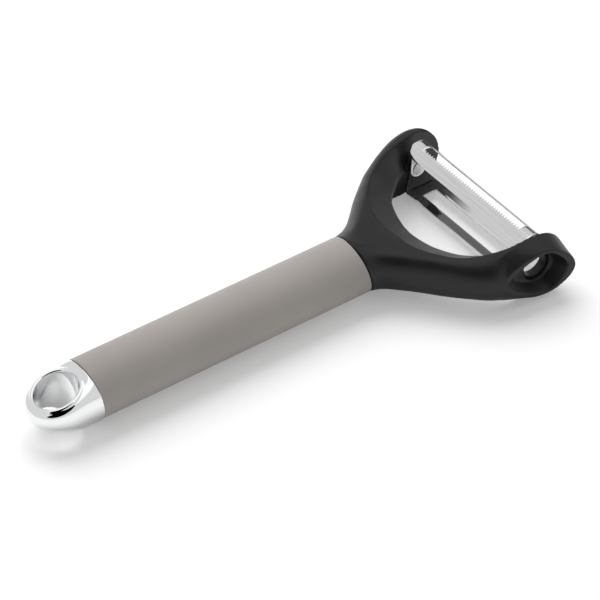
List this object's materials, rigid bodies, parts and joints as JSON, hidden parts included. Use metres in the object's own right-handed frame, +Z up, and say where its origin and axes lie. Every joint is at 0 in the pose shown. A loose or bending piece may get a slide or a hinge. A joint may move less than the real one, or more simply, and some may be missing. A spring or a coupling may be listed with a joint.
{
  "type": "swivel vegetable peeler",
  "caption": "Y-shaped swivel peeler with a serrated and a plain slotted blade on one pivoting unit, an eye-remover scoop, a soft grip and a chrome cap with a hanging hole.",
  "frame": {"origin": "centre of the hanging hole, on the handle's axis", "axes": "+X along the handle towards the blades, +Y towards the thin arm, +Z up out of the face that carries the serrated blade"},
  "size_m": [0.1967, 0.0829, 0.025],
  "materials": {
    "head_plastic": "satin",
    "core_plastic": "matte",
    "grip_rubber": "matte",
    "cap_chrome": "polished",
    "blade_steel": "polished",
    "pivot_steel": "satin"
  },
  "bodies": {
    "handle": {"fork_head": "head_plastic", "handle_core": "core_plastic", "grip_sleeve": "grip_rubber", "end_cap": "cap_chrome"},
    "blade_unit": {"serrated_blade": "blade_steel", "plain_blade": "blade_steel", "far_pivot_pin": "pivot_steel", "near_pivot_bush": "head_plastic"}
  },
  "joints": [
    {"name": "blade_swivel", "type": "hinge", "parent": "handle", "child": "blade_unit", "pos_m": [0.1733, 0, 0], "axis": [0, 1, 0], "range_deg": [-20, 20]}
  ]
}
